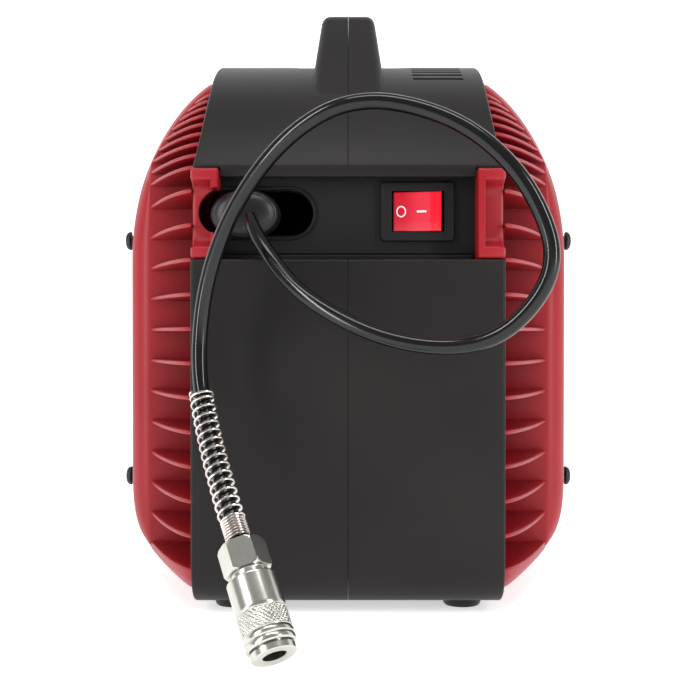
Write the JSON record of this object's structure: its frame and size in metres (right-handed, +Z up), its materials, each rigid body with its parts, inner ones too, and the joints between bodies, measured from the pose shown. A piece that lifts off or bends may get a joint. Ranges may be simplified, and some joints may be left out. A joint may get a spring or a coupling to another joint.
{
  "type": "portable air compressor",
  "caption": "Small portable air compressor with a top carrying handle, finned red side shells, a rocker switch and a short hose ending in a quick coupler.",
  "frame": {"origin": "on the ground under the middle of the casing", "axes": "+Z up, -Y out of the face with the switch and hose, +X to the right of someone facing it"},
  "size_m": [0.2648, 0.3941, 0.3305],
  "materials": {
    "black_plastic": "fine moulded texture",
    "red_plastic": "satin moulded",
    "rubber": "matt",
    "hose_rubber": "glossy",
    "nickel": "satin nickel plate",
    "spring_steel": "bright wire",
    "steel": "zinc plated",
    "aluminium": "die cast",
    "copper": "lacquered winding",
    "switch_red": "translucent gloss",
    "dial_white": "printed dial",
    "clear_lens": "clear"
  },
  "bodies": {
    "casing": {"housing_left": "black_plastic", "housing_right": "black_plastic", "hand_well": "black_plastic", "side_shell_left": "red_plastic", "side_shell_right": "red_plastic", "control_panel": "black_plastic", "rear_panel": "black_plastic", "hook_left": "red_plastic", "hook_right": "red_plastic", "switch_frame": "black_plastic", "gauge_case": "nickel", "gauge_dial": "dial_white", "gauge_lens": "clear_lens", "mains_lead_gland": "rubber", "hose_grommet": "rubber", "hose": "hose_rubber", "spring_guard": "spring_steel", "coupler_body": "nickel", "bumper_left_front_lower": "rubber", "bumper_left_front_upper": "rubber", "bumper_left_rear_lower": "rubber", "bumper_left_rear_upper": "rubber", "bumper_right_front_lower": "rubber", "bumper_right_front_upper": "rubber", "bumper_right_rear_lower": "rubber", "bumper_right_rear_upper": "rubber", "foot_left_front": "rubber", "foot_left_rear": "rubber", "foot_right_front": "rubber", "foot_right_rear": "rubber", "isolator_left_front": "rubber", "isolator_left_rear": "rubber", "isolator_right_front": "rubber", "isolator_right_rear": "rubber", "chassis_plate": "steel", "motor_can": "steel", "motor_stator": "copper", "motor_rear_cap": "aluminium", "motor_front_cap": "aluminium", "motor_rear_bearing": "steel", "motor_front_bearing": "steel", "crankcase": "aluminium", "crankcase_cover": "aluminium", "cylinder": "aluminium", "valve_plate": "steel", "cylinder_head": "aluminium", "intake_filter": "black_plastic", "outlet_tube": "rubber"},
    "rocker": {"switch_rocker": "switch_red"},
    "sleeve": {"coupler_sleeve": "nickel"},
    "rotating_group": {"motor_shaft": "steel", "motor_rotor": "steel", "crank_disc": "steel", "cooling_fan": "black_plastic"},
    "piston": {"piston_rod": "aluminium", "piston_seal": "rubber", "seal_clamp": "steel"},
    "needle": {"gauge_needle": "red_plastic"},
    "knob": {"regulator_knob": "black_plastic"}
  },
  "joints": [
    {"name": "rocker_tilt", "type": "hinge", "parent": "casing", "child": "rocker", "pos_m": [0.0358, -0.1255, 0.2052], "axis": [0, 0, 1], "range_deg": [0, 18]},
    {"name": "sleeve_slide", "type": "slide", "parent": "casing", "child": "sleeve", "axis": [-0.3167, 0.5309, 0.7861], "range_m": [0, 0.0028], "stiffness_N_per_m": 1200, "springref_m": -0.002},
    {"name": "motor_spin", "type": "hinge", "parent": "casing", "child": "rotating_group", "pos_m": [0, 0, 0.1], "axis": [0, 1, 0], "continuous": true},
    {"name": "piston_stroke", "type": "slide", "parent": "casing", "child": "piston", "axis": [0, 0, 1], "range_m": [-0.006, 0.006]},
    {"name": "needle_sweep", "type": "hinge", "parent": "casing", "child": "needle", "pos_m": [0.03, 0.131, 0.203], "axis": [0, 1, 0], "range_deg": [-270, 0], "stiffness_Nm_per_rad": 0.0002, "springref_deg": 28.65},
    {"name": "knob_turn", "type": "hinge", "parent": "casing", "child": "knob", "pos_m": [-0.03, 0.132, 0.203], "axis": [0, 1, 0], "range_deg": [-135, 135]}
  ]
}
